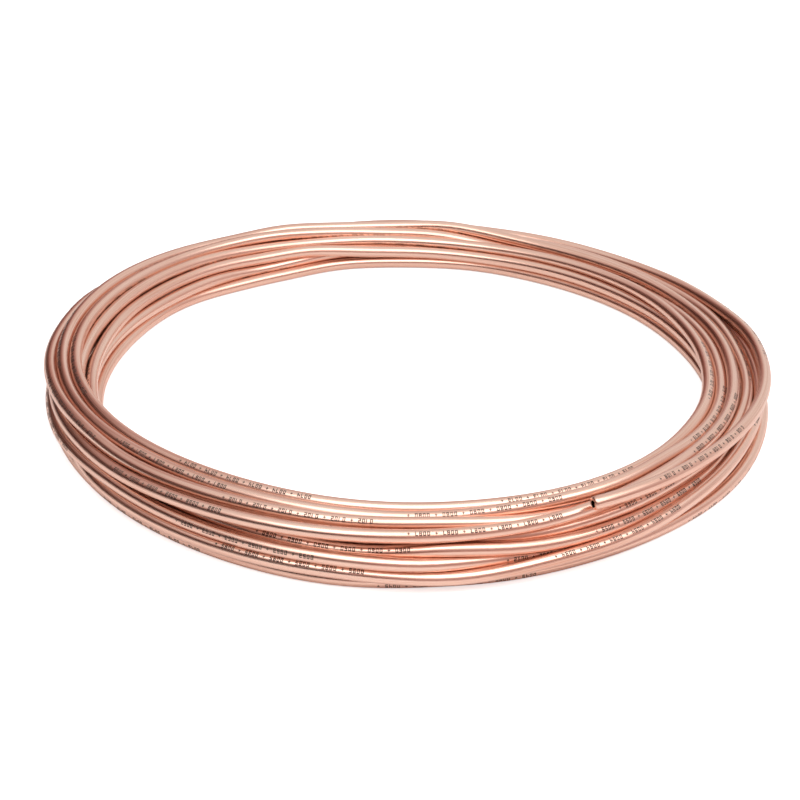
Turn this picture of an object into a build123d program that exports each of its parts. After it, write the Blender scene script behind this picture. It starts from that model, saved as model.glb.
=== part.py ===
# A loose coil of soft copper tube, lying flat on the floor.
#
# The real coil is one length of round tube, fifteen turns of it, heaped in rows. Here the
# wound turns are one turned solid: each turn of the heap shows as a ridge in its section,
# and the coil's eye is open through the middle. The last of the tube climbs out of the heap
# and lies along its top, and its cut end is open.
#
# The turns have twelve-sided sections round the real circle. Their flats meet the flats of
# the turns beside and above them, so the heap beds together with no needle-thin gaps.
#
# Frame: millimetres, +Z up along the coil's axis, origin on the floor under the middle of
# the eye, -Y towards the side where the free end lies.

from build123d import *
import math
import os

# Driving dimensions of the tube
tube_diameter = 10.0
tube_wall = 1.0
tube_sides = 12

# Driving dimensions of the heap: the columns that each row's turns stand in, from the eye
# outwards, where a half column is the seat between two turns of the row below
eye_diameter = 488.0
heap_rows = (
    (0.0, 1.0, 2.0, 3.0),
    (0.5, 1.5, 2.5, 3.5),
    (2.0, 3.0, 4.0),
    (2.5, 3.5),
    (3.0,),
)

# Driving dimensions of the free end
end_column = 3.25
end_row = 5
end_lift = 1.0
end_angle = -57.7
end_straight = 30.0
tail_row = 2
tail_sweep = 120.0

tube_radius = tube_diameter / 2
bore_radius = tube_radius - tube_wall
first_turn_radius = eye_diameter / 2 + tube_radius
row_height = tube_diameter * math.sin(math.radians(60))
flat_turn = 180 / tube_sides


def turn_place(column, row):
    """Radius and height of a turn's centre line, from its place in the heap."""
    return first_turn_radius + column * tube_diameter, tube_radius + row * row_height


turns = [turn_place(column, row) for row, columns in enumerate(heap_rows) for column in columns]

# The corner turns of the heap, in order round its section
heap_corners = [
    turn_place(0.0, 0),
    turn_place(3.0, 0),
    turn_place(3.5, 1),
    turn_place(4.0, 2),
    turn_place(3.5, 3),
    turn_place(3.0, 4),
    turn_place(2.5, 3),
    turn_place(2.0, 2),
    turn_place(1.5, 1),
    turn_place(0.5, 1),
]

# The free end's centre line is an arc round the eye, tilted so that it sinks back into the heap
end_radius, seat_height = turn_place(end_column, end_row)
end_height = seat_height + end_lift
tail_height = turn_place(end_column, tail_row)[1]
rise = (end_height - tail_height) / (1 - math.cos(math.radians(tail_sweep)))
towards_end = Vector(1, 0, 0).rotate(Axis.Z, end_angle)
route_centre = Vector(0, 0, end_height - rise)
route_slope = towards_end * end_radius + Vector(0, 0, rise)
route_radius = route_slope.length
route_plane = Plane(
    origin=route_centre,
    x_dir=route_slope,
    z_dir=route_slope.cross(Vector(0, 0, 1).cross(towards_end)),
)

with BuildPart() as heap:
    with BuildSketch(Plane.XZ):
        with BuildLine():
            Polyline(*heap_corners, close=True)
        make_face()
        with Locations(*turns):
            RegularPolygon(tube_radius, tube_sides, major_radius=False, rotation=flat_turn)
    revolve(axis=Axis.Z)

with BuildPart() as coil:
    add(heap.part)
    with BuildLine(route_plane) as route:
        CenterArc((0, 0), route_radius, 0, tail_sweep)
    cut_plane = Plane(origin=route.line @ 0, x_dir=route_plane.z_dir, z_dir=-(route.line % 0))
    with BuildSketch(cut_plane):
        RegularPolygon(tube_radius, tube_sides, major_radius=False, rotation=flat_turn)
    sweep(path=route)
    with BuildSketch(cut_plane):
        Circle(tube_radius)
    extrude(amount=end_straight)
    with BuildSketch(cut_plane.offset(end_straight)):
        Circle(bore_radius)
    extrude(amount=-end_straight, mode=Mode.SUBTRACT)

coil.part.label = "copper_tube"
os.makedirs("parts", exist_ok=True)
export_step(coil.part, "parts/copper_tube.step")

length = sum(2 * math.pi * radius for radius, _ in turns) + math.radians(tail_sweep) * route_radius
mouth = cut_plane.offset(end_straight).origin
print(f"tube in the turns and the free end: {length / 1000:.1f} m")
print(f"mouth of the free end: {mouth}, facing {cut_plane.z_dir}")
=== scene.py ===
# %% [markdown]
# A coil of soft copper tube
#
# The real thing is one length of round copper tube, wound into fifteen loose turns and laid
# flat on a table. Nothing ties it: the turns lie beside, on top of and across each other, and
# one cut end rests on the heap. This notebook rolls that one tube as one mesh, gives it the
# finish of clean drawn copper, and sets it on a plain pale floor.

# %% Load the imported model
import bmesh
import bpy
import math
import numpy as np
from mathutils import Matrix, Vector


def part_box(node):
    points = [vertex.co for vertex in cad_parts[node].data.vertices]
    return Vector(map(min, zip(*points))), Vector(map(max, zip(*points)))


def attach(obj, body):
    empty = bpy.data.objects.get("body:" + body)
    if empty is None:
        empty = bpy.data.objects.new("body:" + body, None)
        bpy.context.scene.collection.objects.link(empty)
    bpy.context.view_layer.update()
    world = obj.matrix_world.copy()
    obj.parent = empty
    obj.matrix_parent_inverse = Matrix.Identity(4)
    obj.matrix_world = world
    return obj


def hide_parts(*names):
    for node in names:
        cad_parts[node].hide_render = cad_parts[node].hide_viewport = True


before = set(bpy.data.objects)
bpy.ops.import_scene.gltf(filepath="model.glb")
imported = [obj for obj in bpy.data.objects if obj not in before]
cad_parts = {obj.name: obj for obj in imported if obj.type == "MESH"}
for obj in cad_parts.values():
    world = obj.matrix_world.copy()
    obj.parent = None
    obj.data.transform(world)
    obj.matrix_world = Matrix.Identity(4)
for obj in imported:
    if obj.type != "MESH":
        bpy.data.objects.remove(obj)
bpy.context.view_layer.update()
coil_low, coil_high = (Vector(corner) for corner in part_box("copper_tube"))
print("the packed coil reaches from", tuple(coil_low), "to", tuple(coil_high))

# %% [markdown]
# The camera
#
# A product photograph of something this flat is taken with a long lens from a little above,
# so that the far side of the ring is nearly as large as the near side. The camera stands on
# the -Y side and looks along +Y at a point near the middle of the eye.

# %% Set up the camera
FRAME_WIDTH = 800
SENSOR = 36.0
FOCAL_PIXELS = 2012.0
ELEVATION = math.radians(28.35)
CAMERA_DISTANCE = 1.6096
LOOK_AT = Vector((-0.0068, -0.0129, 0.0))

lens = bpy.data.cameras.new("camera")
lens.sensor_width = SENSOR
lens.lens = FOCAL_PIXELS / FRAME_WIDTH * SENSOR
camera = bpy.data.objects.new("camera", lens)
towards_camera = Vector((0, -math.cos(ELEVATION), math.sin(ELEVATION)))
camera.location = LOOK_AT + towards_camera * CAMERA_DISTANCE
camera.rotation_euler = (math.pi / 2 - ELEVATION, 0, 0)
bpy.context.collection.objects.link(camera)
bpy.context.scene.camera = camera
print(f"a {lens.lens:.1f} mm lens, {CAMERA_DISTANCE:.2f} m away")

# %% [markdown]
# Where the turns lie
#
# A heap of tube is easiest to describe by its section. Turns that lie on the floor stand in
# columns, one diameter apart, and a turn of the next layer sits in the seat between two of
# them. So each turn gets a column, counted from the eye outwards, and a row, counted up from
# the floor, at twelve places round the ring. The list starts at the free end and follows the
# tube, and it runs anticlockwise seen from above.

# %% Give the places of the turns
TUBE = 0.010
WALL = 0.001
EYE_RADIUS = 0.249
ROW = TUBE * math.sin(math.radians(60))
START_ANGLE = -63.8

TURNS = [
    [(3.4, 5.3), (3.05, 4.8), (3.2, 3.6), (2.85, 2.7), (2.8, 1.9), (2.95, 1.6),
     (3.5, 1.95), (3.9, 2.8), (3.6, 3.65), (2.65, 4.1), (1.7, 4.3), (2.1, 4.3)],
    [(1.6, 3.4), (0.9, 2.7), (0.8, 1.9), (1.0, 1.2), (1.4, 1.0), (1.6, 1.0),
     (1.95, 1.0), (2.1, 1.0), (2.5, 1.0), (2.85, 1.0), (3.25, 1.0), (3.85, 1.1)],
    [(3.9, 1.6), (3.0, 2.4), (2.7, 2.2), (3.2, 1.6), (3.5, 1.05), (3.5, 1.0),
     (3.95, 1.1), (3.75, 1.75), (3.25, 2.6), (2.9, 3.1), (3.2, 4.1), (3.35, 4.3)],
    [(2.5, 3.95), (1.4, 3.7), (0.3, 2.9), (1.2, 2.1), (1.1, 1.9), (1.95, 1.95),
     (2.85, 2.8), (3.5, 3.75), (2.7, 4.05), (1.6, 4.2), (0.3, 4.4), (1.0, 4.4)],
    [(1.1, 4.15), (0.5, 3.7), (-0.5, 2.9), (0.3, 2.1), (0.2, 1.7), (1.1, 2.0),
     (2.0, 2.9), (2.5, 3.7), (1.9, 3.9), (0.45, 4.3), (-0.35, 4.4), (0.1, 4.5)],
    [(0.1, 4.2), (-0.2, 3.85), (-1.3, 3.0), (-0.6, 2.2), (-0.2, 1.7), (0.15, 1.9),
     (1.2, 2.3), (1.5, 3.35), (1.3, 3.0), (1.1, 3.2), (1.25, 3.4), (2.5, 3.35)],
    [(2.5, 2.9), (1.9, 3.0), (1.6, 2.35), (1.8, 1.75), (1.8, 1.3), (1.9, 1.2),
     (1.9, 1.8), (2.2, 2.5), (2.1, 2.2), (2.05, 3.0), (2.2, 2.8), (3.2, 2.5)],
    [(2.8, 2.2), (2.1, 2.1), (1.4, 1.35), (1.95, 1.0), (2.4, 1.0), (2.6, 1.0),
     (2.95, 1.05), (2.95, 1.1), (2.9, 1.6), (3.05, 2.1), (3.2, 2.2), (4.0, 2.1)],
    [(2.5, 1.4), (2.1, 1.0), (2.4, 1.1), (3.75, 0.45), (3.95, 0.0), (3.8, 0.0),
     (3.6, 0.0), (3.2, 0.0), (2.8, 0.0), (2.65, 0.0), (2.85, 0.0), (3.85, 0.0)],
    [(2.75, 0.0), (3.1, 0.0), (3.2, 0.0), (2.8, 0.0), (2.9, 0.0), (2.9, 0.0),
     (2.6, 0.0), (2.2, 0.0), (1.8, 0.0), (1.65, 0.0), (1.75, 0.0), (2.45, 0.0)],
    [(1.75, 0.0), (1.75, 0.0), (1.85, 0.0), (1.8, 0.0), (1.9, 0.0), (1.9, 0.0),
     (1.6, 0.0), (1.2, 0.0), (1.0, 0.0), (0.75, 0.0), (0.85, 0.0), (1.45, 0.0)],
    [(0.7, 0.0), (0.8, 0.0), (0.9, 0.0), (0.9, 0.0), (1.0, 0.0), (1.0, 0.0),
     (1.0, 0.7), (1.25, 1.0), (1.7, 1.0), (1.95, 1.0), (2.25, 1.0), (2.8, 1.05)],
    [(1.9, 1.1), (0.6, 1.35), (-0.5, 1.2), (-1.0, 1.15), (-0.9, 1.0), (-0.6, 1.15),
     (0.1, 1.5), (0.7, 2.1), (0.2, 2.3), (0.3, 2.3), (1.0, 2.2), (2.0, 2.2)],
    [(1.4, 2.3), (0.9, 2.0), (0.4, 1.3), (0.1, 0.9), (0.0, 0.5), (0.25, 0.7),
     (0.5, 0.75), (0.6, 1.1), (0.5, 1.2), (0.6, 1.1), (1.1, 1.1), (1.8, 1.05)],
    [(0.9, 1.1), (0.1, 0.6), (-0.5, 0.1), (-1.1, 0.0), (-0.6, 0.0), (-0.5, 0.0),
     (-0.1, 0.0), (0.25, 0.0), (0.3, 0.2), (-0.2, 0.0), (-0.1, 0.0), (0.4, 0.0)],
]
PLACES = len(TURNS[0])
print(len(TURNS), "turns,", PLACES, "places round the ring")

# %% [markdown]
# From places to a smooth route
#
# Copper tube has no corners in it. The places are joined by straight stretches first, and a
# moving average then rounds them, which is what bending the tube round a drum does to it.

# %% Draw the route through the places
STEPS = 144


def evened(values, width):
    """Values after two moving averages, with the slope at both ends kept."""
    weights = np.hanning(width + 2)[1:-1]
    weights /= weights.sum()
    half = width // 2
    for _ in range(2):
        before = 2 * values[0] - values[half:0:-1]
        after = 2 * values[-1] - values[-2:-half - 2:-1]
        values = np.convolve(np.concatenate([before, values, after]), weights, "valid")
    return values


places = np.array([place for turn in TURNS for place in turn])
step_count = len(TURNS) * STEPS
at_place = np.arange(step_count) * PLACES / STEPS
columns, rows = (np.interp(at_place, np.arange(len(places)), part) for part in places.T)
corner_width = STEPS // PLACES | 1
radii = evened(EYE_RADIUS + columns * TUBE, corner_width)
heights = evened(TUBE / 2 + rows * ROW, corner_width)
print(f"{step_count} steps, radius {radii.min():.3f} to {radii.max():.3f} m")

# %% [markdown]
# Letting the turns settle
#
# The listed places leave some turns a little inside each other. The real ones push each
# other away, rest on the floor and can't bend sharply, so the loop below does the same: at
# every step round the ring it moves overlapping turns apart, draws each back towards its
# place, lets it sink a little and then takes out sharp bends.

# %% Settle the turns
ROUNDS = 400
FREE_ROUNDS = 60
PUSH = 0.55
PULL = 0.02
SINK = 0.00003
STIFFNESS = 0.06
MARGIN = 0.0002
ROOM_PER_TURN = TUBE * 1.002
SMOOTHINGS = 2


def pushed_apart(radii, heights):
    """Radii and heights after each pair of overlapping turns has moved apart."""
    across = radii.reshape(-1, STEPS)
    up = heights.reshape(-1, STEPS)
    move_across, move_up = np.zeros_like(across), np.zeros_like(up)
    for lower in range(len(TURNS)):
        for upper in range(lower + 1, len(TURNS)):
            gap_across = across[lower] - across[upper]
            gap_up = up[lower] - up[upper]
            gap = np.hypot(gap_across, gap_up) + 1e-9
            share = np.clip(ROOM_PER_TURN - gap, 0, None) / 2 / gap
            move_across[lower] += share * gap_across
            move_across[upper] -= share * gap_across
            move_up[lower] += share * gap_up
            move_up[upper] -= share * gap_up
    return (across + PUSH * move_across).ravel(), (up + PUSH * move_up).ravel()


def unbent(values, stiffness):
    """Values after the tube's stiffness has worked on them."""
    bend = values[:-4] - 4 * values[1:-3] + 6 * values[2:-2] - 4 * values[3:-1] + values[4:]
    values = values.copy()
    values[2:-2] -= stiffness * bend
    return values


chosen_radii, chosen_heights = radii, heights
widest = coil_high.x - TUBE / 2 - MARGIN
for settling_round in range(ROUNDS):
    radii, heights = pushed_apart(radii, heights)
    held = settling_round < ROUNDS - FREE_ROUNDS
    if held:
        radii = radii + PULL * (chosen_radii - radii)
        heights = heights + PULL * (chosen_heights - heights) - SINK
    stiffness = STIFFNESS if held else STIFFNESS / 2
    for _ in range(SMOOTHINGS):
        radii = np.minimum(unbent(radii, stiffness), widest)
        heights = np.maximum(unbent(heights, stiffness), TUBE / 2)
print(f"settled: radius {radii.min():.4f} to {radii.max():.4f} m")
print(f"the heap's top is at {heights.max() + TUBE / 2:.4f} m")

# %% [markdown]
# Rolling the tube
#
# The mesh starts as a flat grid, long in the direction of the tube, and is rolled up round
# the route. Its first and last columns of points are tucked inside, so the same grid also
# makes the cut rim and a stretch of bore at both ends. A grid brings its own UV map, and
# that map follows the tube, so ink and draw marks can be placed along it later.

# %% Make the route's own directions
angles = np.radians(START_ANGLE + np.arange(step_count) * 360 / STEPS)
route = np.stack([radii * np.cos(angles), radii * np.sin(angles), heights], axis=1)
step_lengths = np.linalg.norm(np.diff(route, axis=0), axis=1)
distances = np.concatenate([[0], np.cumsum(step_lengths)])
tube_length = distances[-1]
SLOPE_REACH = 0.002


def route_at(distance):
    """Point of the route and its outward and upward directions, at a distance along it."""
    along = np.clip(distance, 0, tube_length)
    before, after = max(along - SLOPE_REACH, 0), min(along + SLOPE_REACH, tube_length)
    point, near, far = (
        Vector([np.interp(where, distances, part) for part in route.T])
        for where in (along, before, after)
    )
    forward = (far - near).normalized()
    out = Vector((point.x, point.y, 0))
    out = (out - forward * out.dot(forward)).normalized()
    up = out.cross(forward) * -1
    if up.z < 0:
        up = -up
    return point, out, up


print(f"the tube is {tube_length:.2f} m long")

# %% Roll the tube
SIDES = 32
SEAM_ANGLE = -120.0
# Where the printed line lies round the tube, in degrees above its outer side, at a few
# distances along it: it wanders, and it turns under on the lowest turns
INK_AT = [0, 2, 4, 6, 8, 10, 12.5, 14.5, 17, 20, 26]
INK_ANGLE = [58, 44, 60, 48, 62, 50, 45, -18, -10, 50, 60]
BORE_DEPTH = 0.06
TUBE_RADIUS = TUBE / 2
BORE_RADIUS = TUBE_RADIUS - WALL
RIM_REACH = 0.004
# Each rim point: its depth behind the cut end, and its radius
RIM = [
    (BORE_DEPTH, 0.0),
    (BORE_DEPTH, BORE_RADIUS),
    (0.0030, BORE_RADIUS),
    (0.0012, 0.0034),
    (0.0003, 0.0026),
    (0.0, 0.0027),
    (0.0001, 0.0036),
    (0.0005, 0.0043),
    (0.0013, 0.0048),
    (0.0028, TUBE_RADIUS),
]


def rolled_tube():
    """One mesh from a flat grid, with both ends tucked in."""
    last_rim = [(tube_length - depth, radius) for depth, radius in reversed(RIM)]
    body_end = tube_length - RIM_REACH
    body = [(distance, TUBE_RADIUS) for distance in distances if RIM_REACH < distance < body_end]
    stations = RIM + body + last_rim
    mesh_builder = bmesh.new()
    mesh_builder.loops.layers.uv.new("tube")
    bmesh.ops.create_grid(
        mesh_builder,
        x_segments=len(stations) - 1,
        y_segments=SIDES,
        size=1,
        calc_uvs=True,
    )
    places = [route_at(distance) for distance, _ in stations]
    for point in mesh_builder.verts:
        station = round((point.co.x + 1) / 2 * (len(stations) - 1))
        turned = (point.co.y + 1) * math.pi + math.radians(SEAM_ANGLE)
        centre, out, up = places[station]
        point.co = centre + (out * math.cos(turned) + up * math.sin(turned)) * stations[station][1]
    bmesh.ops.remove_doubles(mesh_builder, verts=mesh_builder.verts, dist=1e-6)
    bmesh.ops.recalc_face_normals(mesh_builder, faces=mesh_builder.faces)
    for face in mesh_builder.faces:
        face.smooth = True
    mesh = bpy.data.meshes.new("coil_of_tube")
    mesh_builder.to_mesh(mesh)
    mesh_builder.free()
    tube_uv = mesh.uv_layers["tube"].data
    flat = np.zeros(len(tube_uv) * 2)
    tube_uv.foreach_get("uv", flat)
    along = [distance for distance, _ in stations]
    flat[0::2] = np.interp(flat[0::2] * (len(stations) - 1), np.arange(len(stations)), along)
    tube_uv.foreach_set("uv", flat)
    ink_angle = np.interp(flat[0::2], INK_AT, INK_ANGLE)
    flat[1::2] -= (ink_angle - SEAM_ANGLE) / 360
    mesh.uv_layers.new(name="ink").data.foreach_set("uv", flat)
    return mesh


coil = bpy.data.objects.new("coil_of_tube", rolled_tube())
bpy.context.collection.objects.link(coil)
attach(coil, "root")
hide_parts("copper_tube")
print(len(coil.data.polygons), "faces")

# %% [markdown]
# Effects as node groups
#
# An effect such as draw marks or ink is easier to reuse when it is a node group with a few
# named inputs and outputs. The helper below adds a maths node and links or sets its inputs, so
# that a formula in the nodes reads nearly like a formula on paper.

# %% Make a helper for formulas in nodes


class Formula:
    """Adds maths nodes to a tree, each taking numbers or other nodes' outputs."""

    def __init__(self, tree):
        self.tree = tree

    def node(self, kind, **settings):
        """A new node of a kind, with its settings."""
        made = self.tree.nodes.new(kind)
        for name, value in settings.items():
            setattr(made, name, value)
        return made

    def feed(self, socket, value):
        """Links an output to a socket, or sets a number on it."""
        if isinstance(value, bpy.types.NodeSocket):
            self.tree.links.new(value, socket)
        else:
            socket.default_value = value

    def maths(self, operation, *values):
        """The output of one maths node."""
        made = self.node("ShaderNodeMath", operation=operation)
        for socket, value in zip(made.inputs, values):
            self.feed(socket, value)
        return made.outputs[0]

    def digit_of(self, number, ten_power):
        """One decimal digit of a whole number."""
        shifted = self.maths("FLOOR", self.maths("DIVIDE", number, ten_power))
        return self.maths("FLOORED_MODULO", shifted, 10)

    def between(self, value, low, high):
        """One where a value lies between two limits, and nought elsewhere."""
        above = self.maths("GREATER_THAN", value, low)
        return self.maths("MULTIPLY", above, self.maths("LESS_THAN", value, high))

    def noise(self, vector, scale, detail=2.0):
        """The grey output of a noise texture."""
        made = self.node("ShaderNodeTexNoise")
        self.feed(made.inputs["Vector"], vector)
        made.inputs["Scale"].default_value = scale
        made.inputs["Detail"].default_value = detail
        return made.outputs["Fac"]

    def stretched(self, value, low, high, new_low, new_high):
        """A value carried from one range to another, and held inside it."""
        made = self.node("ShaderNodeMapRange")
        for socket, number in zip(made.inputs, (value, low, high, new_low, new_high)):
            self.feed(socket, number)
        return made.outputs[0]

    def blended(self, mask, first, second):
        """Two colours mixed by a mask."""
        made = self.node("ShaderNodeMix", data_type="RGBA")
        self.feed(made.inputs["Factor"], mask)
        self.feed(made.inputs["A"], first)
        self.feed(made.inputs["B"], second)
        return made.outputs["Result"]


def new_group(name, inputs, outputs):
    """A node group with number inputs and outputs, and its two end nodes."""
    group = bpy.data.node_groups.new(name, "ShaderNodeTree")
    for way, labels in (("INPUT", inputs), ("OUTPUT", outputs)):
        for label in labels:
            group.interface.new_socket(name=label, in_out=way, socket_type="NodeSocketFloat")
    return group, group.nodes.new("NodeGroupInput"), group.nodes.new("NodeGroupOutput")


print("formula helper ready")

# %% [markdown]
# Draw marks
#
# A tube is pulled through a die, which leaves fine lines along it. Noise that is stretched
# along the tube and crowded round it gives such lines. The tube's own UV map says where along
# and round the tube a point is, so the lines follow every bend.

# %% Build the draw marks
LINES_PER_METRE = 6.0
LINES_ROUND = 44.0

draw_marks, given, made = new_group("draw_marks", ["Along", "Round"], ["Lines"])
sums = Formula(draw_marks)
line_place = sums.node("ShaderNodeCombineXYZ")
sums.feed(line_place.inputs["X"], sums.maths("MULTIPLY", given.outputs["Along"], LINES_PER_METRE))
sums.feed(line_place.inputs["Y"], sums.maths("MULTIPLY", given.outputs["Round"], LINES_ROUND))
sums.feed(made.inputs["Lines"], sums.noise(line_place.outputs[0], 1.0, 3.0))
print(len(draw_marks.nodes), "nodes in the draw marks")

# %% [markdown]
# Ink marks
#
# The mill prints a line of small marks along the tube, again and again. Here each run of
# marks holds the run's own number, counted from the coil's inner end, with a cross between
# the groups. A digit is seven bars that are on or off: for each bar, one whole number holds
# the answer for all ten digits in its binary places.

# %% Build the ink marks
INK_PERIOD = 0.240
INK_PITCH = 0.00267
INK_HEIGHT = 0.0033
INK_CELLS = 41
GROUP_CELLS = 7
DIGITS = 4
CROSS_CELL = 5
COUNT_FROM = 26.085
DIGIT_WIDTH = 0.72
BAR = 0.23
SIDE_BAR = BAR * 1.4
# Each bar: its left, right, bottom and top in the digit, and the digits that use it
DIGIT_BARS = [
    (0.0, 1.0, 1 - BAR, 1.0, "02356789"),
    (0.0, 1.0, 0.5 - BAR / 2, 0.5 + BAR / 2, "2345689"),
    (0.0, 1.0, 0.0, BAR, "0235689"),
    (0.0, SIDE_BAR, 0.5, 1.0, "045689"),
    (1 - SIDE_BAR, 1.0, 0.5, 1.0, "01234789"),
    (0.0, SIDE_BAR, 0.0, 0.5, "0268"),
    (1 - SIDE_BAR, 1.0, 0.0, 0.5, "013456789"),
]

ink_marks, given, made = new_group("ink_marks", ["Along", "Round"], ["Ink"])
sums = Formula(ink_marks)
read_along = sums.maths("SUBTRACT", COUNT_FROM, given.outputs["Along"])
run = sums.maths("FLOOR", sums.maths("DIVIDE", read_along, INK_PERIOD))
in_run = sums.maths("FLOORED_MODULO", read_along, INK_PERIOD)
cells = sums.maths("DIVIDE", in_run, INK_PITCH)
cell = sums.maths("FLOOR", cells)
in_group = sums.maths("FLOORED_MODULO", cell, GROUP_CELLS)
across = sums.maths("DIVIDE", sums.maths("FRACT", cells), DIGIT_WIDTH)
heights_round = -math.tau * TUBE_RADIUS / INK_HEIGHT
upwards = sums.maths("MULTIPLY_ADD", given.outputs["Round"], heights_round, 0.5)
digit = 0.0
for place_in_group in range(DIGITS):
    here = sums.maths("COMPARE", in_group, place_in_group, 0.1)
    value = sums.digit_of(run, 10 ** (DIGITS - 1 - place_in_group))
    digit = sums.maths("MULTIPLY_ADD", here, value, digit)
bars = 0.0
for left, right, low, high, users in DIGIT_BARS:
    code = sum(2 ** int(user) for user in users)
    halved = sums.maths("FLOOR", sums.maths("DIVIDE", code, sums.maths("POWER", 2, digit)))
    lit = sums.maths("FLOORED_MODULO", halved, 2)
    in_width = sums.between(across, left, right)
    inside = sums.maths("MULTIPLY", in_width, sums.between(upwards, low, high))
    bars = sums.maths("MAXIMUM", bars, sums.maths("MULTIPLY", lit, inside))
in_digits = sums.maths("LESS_THAN", in_group, DIGITS - 0.5)
upright = sums.maths("MULTIPLY", sums.between(across, 0.36, 0.64), sums.between(upwards, 0.2, 0.8))
level = sums.maths("MULTIPLY", sums.between(across, 0.05, 0.95), sums.between(upwards, 0.4, 0.6))
in_cross = sums.maths("COMPARE", in_group, CROSS_CELL, 0.1)
cross = sums.maths("MULTIPLY", sums.maths("MAXIMUM", upright, level), in_cross)
marks = sums.maths("MAXIMUM", sums.maths("MULTIPLY", bars, in_digits), cross)
before_gap = sums.maths("LESS_THAN", cell, INK_CELLS)
sums.feed(made.inputs["Ink"], sums.maths("MULTIPLY", marks, before_gap))
print(len(ink_marks.nodes), "nodes in the ink marks")

# %% [markdown]
# Clean drawn copper
#
# Bare metal has no colour of its own under its reflections: the metal tints what it mirrors.
# So the copper is a full metal with a pink base colour. Its look comes from what stands round
# it and from how rough it is, and the draw marks change the roughness in lines along the tube.
# The ink is no metal: where its mask is on, the surface turns dark, dull and non-metallic.

# %% Mix the copper
COPPER = (0.94, 0.65, 0.53, 1)
TARNISH = (0.72, 0.36, 0.25, 1)
INK = (0.03, 0.012, 0.009, 1)
PATCH_SCALE = 9.0
WEAR_SCALE = 420.0

copper = bpy.data.materials.new("drawn_copper")
copper.use_nodes = True
tree = copper.node_tree
shader = tree.nodes["Principled BSDF"]
sums = Formula(tree)
tube_map = sums.node("ShaderNodeUVMap", uv_map="tube")
split = sums.node("ShaderNodeSeparateXYZ")
sums.feed(split.inputs[0], tube_map.outputs[0])
marks_node = sums.node("ShaderNodeGroup", node_tree=draw_marks)
sums.feed(marks_node.inputs["Along"], split.outputs["X"])
sums.feed(marks_node.inputs["Round"], split.outputs["Y"])
ink_map = sums.node("ShaderNodeUVMap", uv_map="ink")
ink_split = sums.node("ShaderNodeSeparateXYZ")
sums.feed(ink_split.inputs[0], ink_map.outputs[0])
ink_node = sums.node("ShaderNodeGroup", node_tree=ink_marks)
sums.feed(ink_node.inputs["Along"], ink_split.outputs["X"])
sums.feed(ink_node.inputs["Round"], ink_split.outputs["Y"])
object_place = sums.node("ShaderNodeTexCoord").outputs["Object"]
patches = sums.noise(object_place, PATCH_SCALE, 3.0)
worn = sums.stretched(sums.noise(object_place, WEAR_SCALE), 0.3, 0.6, 0.75, 1.0)
inked = sums.maths("MULTIPLY", ink_node.outputs["Ink"], worn)
tarnish = sums.maths(
    "MULTIPLY",
    sums.stretched(patches, 0.35, 0.65, 0.3, 1.0),
    sums.stretched(marks_node.outputs["Lines"], 0.4, 0.7, 0.0, 1.0),
)
metal = sums.blended(tarnish, COPPER, TARNISH)
sums.feed(shader.inputs["Base Color"], sums.blended(inked, metal, INK))
sums.feed(shader.inputs["Metallic"], sums.maths("SUBTRACT", 1.0, inked))
line_roughness = sums.stretched(marks_node.outputs["Lines"], 0.3, 0.7, 0.23, 0.36)
sums.feed(shader.inputs["Roughness"], sums.maths("MULTIPLY_ADD", inked, 0.3, line_roughness))
relief = sums.node("ShaderNodeBump")
relief.inputs["Strength"].default_value = 0.2
relief.inputs["Distance"].default_value = 0.0001
sums.feed(relief.inputs["Height"], marks_node.outputs["Lines"])
sums.feed(shader.inputs["Normal"], relief.outputs[0])
coil.data.materials.append(copper)
print(len(tree.nodes), "nodes in the copper")

# %% [markdown]
# The studio
#
# The coil lies on a plain white sweep under soft light. Polished metal shows the room it
# stands in, so the room matters as much as the lamp: it is bright above, behind and to the
# right, dimmer towards the camera, and dark and warm low down on the left. One wide soft lamp
# hangs over the camera's side and draws the pale lines along the tubes. The sweep is white to
# the camera, and still takes the coil's own soft shadow.

# %% Lay the floor
FLOOR_SIZE = 6.0

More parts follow.
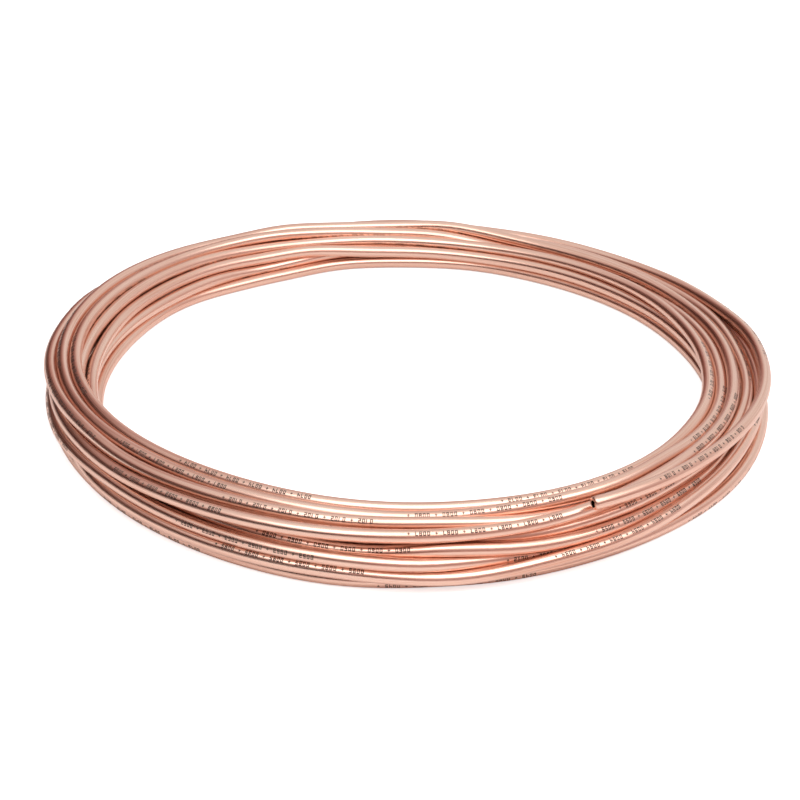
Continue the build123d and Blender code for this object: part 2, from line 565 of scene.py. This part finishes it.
floor_builder = bmesh.new()
bmesh.ops.create_grid(floor_builder, x_segments=1, y_segments=1, size=FLOOR_SIZE / 2)
floor_mesh = bpy.data.meshes.new("floor")
floor_builder.to_mesh(floor_mesh)
floor_builder.free()
floor = bpy.data.objects.new("floor", floor_mesh)
bpy.context.collection.objects.link(floor)
paper = bpy.data.materials.new("white_sweep")
paper.use_nodes = True
sums = Formula(paper.node_tree)
paper_shader = paper.node_tree.nodes["Principled BSDF"]
paper_shader.inputs["Base Color"].default_value = (0.9, 0.9, 0.9, 1)
paper_shader.inputs["Roughness"].default_value = 0.9
paper_shader.inputs["Emission Color"].default_value = (1, 1, 1, 1)
seen = sums.node("ShaderNodeLightPath").outputs["Is Camera Ray"]
sums.feed(paper_shader.inputs["Emission Strength"], sums.maths("MULTIPLY", seen, 0.65))
floor_mesh.materials.append(paper)

# %% Hang the lamp


def soft_lamp(name, place, target, size, watts):
    """An oblong area lamp at a place, facing a target."""
    light = bpy.data.lights.new(name, "AREA")
    light.shape = "RECTANGLE"
    light.size, light.size_y = size
    light.energy = watts
    lamp = bpy.data.objects.new(name, light)
    lamp.location = place
    lamp.rotation_euler = (Vector(target) - Vector(place)).to_track_quat("-Z", "Y").to_euler()
    bpy.context.collection.objects.link(lamp)


soft_lamp("overhead", (0.2, -0.75, 1.4), (0, -0.1, 0), (2.6, 1.2), 19)

# %% Light the room
ROOM_ABOVE = 0.8
ROOM_RIGHT = 0.82
ROOM_BACK = 0.8
ROOM_FRONT = 0.45
ROOM_LEFT = 0.05
SHADE = (1.0, 0.26, 0.18, 1)

world = bpy.data.worlds.new("studio")
bpy.context.scene.world = world
world.use_nodes = True
sums = Formula(world.node_tree)
direction = sums.node("ShaderNodeTexCoord").outputs["Generated"]
parts = sums.node("ShaderNodeSeparateXYZ")
sums.feed(parts.inputs[0], direction)
to_right, to_back, to_top = parts.outputs
sideways = sums.stretched(to_right, -0.42, 0.1, ROOM_LEFT, ROOM_RIGHT)
lengthwise = sums.stretched(to_back, -0.6, 0.6, ROOM_FRONT / ROOM_RIGHT, ROOM_BACK / ROOM_RIGHT)
walls = sums.maths("MULTIPLY", sideways, lengthwise)
ceiling = sums.stretched(to_top, 0.48, 0.75, 0.0, 1.0)
difference = sums.maths("SUBTRACT", ROOM_ABOVE, walls)
room = sums.maths("MULTIPLY_ADD", ceiling, difference, walls)
seen = sums.node("ShaderNodeLightPath").outputs["Is Camera Ray"]
strength = sums.maths("MAXIMUM", room, seen)
backdrop = world.node_tree.nodes["Background"]
warmth = sums.stretched(strength, 0.15, 0.8, 0.0, 1.0)
sums.feed(backdrop.inputs["Color"], sums.blended(warmth, SHADE, (1, 1, 1, 1)))
sums.feed(backdrop.inputs["Strength"], strength)
bpy.context.scene.view_settings.view_transform = "Standard"
print("the room is lit")
